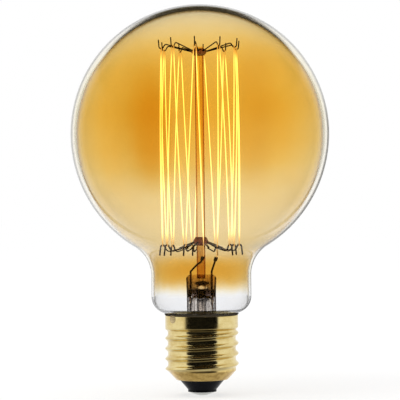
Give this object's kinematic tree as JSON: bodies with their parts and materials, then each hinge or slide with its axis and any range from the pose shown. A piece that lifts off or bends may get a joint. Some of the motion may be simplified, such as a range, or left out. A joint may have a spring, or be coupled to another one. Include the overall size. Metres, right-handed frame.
{
  "type": "carbon filament bulb",
  "caption": "Globe light bulb of amber-coated glass with a caged carbon filament on a glass stem, hooked support wires and a brass screw cap.",
  "frame": {"origin": "tip of the centre contact, on the axis of the cap", "axes": "+Z along the axis from the contact to the crown of the globe; the front faces -Y"},
  "size_m": [0.092, 0.092, 0.1391],
  "materials": {
    "clear_glass": "clear polished",
    "amber_coat": "clear amber coat, fading in the neck",
    "stem_glass": "clear, fire-polished",
    "bead_glass": "glossy reddish brown",
    "support_wire": "dark oxidised wire",
    "carbon_filament": "glowing carbon",
    "lead_wire": "dark drawn wire",
    "clamp_metal": "dark pressed metal",
    "copper_wire": "drawn copper",
    "cap_brass": "bright rolled brass",
    "cement": "matt baked cement",
    "black_glass": "glossy black glass",
    "solder": "grey solder"
  },
  "bodies": {
    "root": {"glass_envelope": "clear_glass", "amber_lining": "amber_coat", "stem_flare": "stem_glass", "exhaust_tube": "stem_glass", "support_rod": "stem_glass", "upper_button": "bead_glass", "lower_button": "bead_glass", "upper_support_1": "support_wire", "upper_support_2": "support_wire", "upper_support_3": "support_wire", "upper_support_4": "support_wire", "upper_support_5": "support_wire", "upper_support_6": "support_wire", "upper_support_7": "support_wire", "upper_support_8": "support_wire", "upper_support_9": "support_wire", "upper_support_10": "support_wire", "lower_support_1": "support_wire", "lower_support_2": "support_wire", "lower_support_3": "support_wire", "lower_support_4": "support_wire", "lower_support_5": "support_wire", "lower_support_6": "support_wire", "lower_support_7": "support_wire", "lower_support_8": "support_wire", "lower_support_9": "support_wire", "filament": "carbon_filament", "lead_wire_left": "lead_wire", "lead_wire_right": "lead_wire", "filament_clamp_left": "clamp_metal", "filament_clamp_right": "clamp_metal", "seal_wire_left": "copper_wire", "seal_wire_right": "copper_wire", "side_lead": "copper_wire", "centre_lead": "copper_wire", "cap_shell": "cap_brass", "contact_plate": "cap_brass", "capping_cement": "cement", "cap_insulator": "black_glass", "contact_solder": "solder", "side_solder": "solder"}
  },
  "joints": []
}
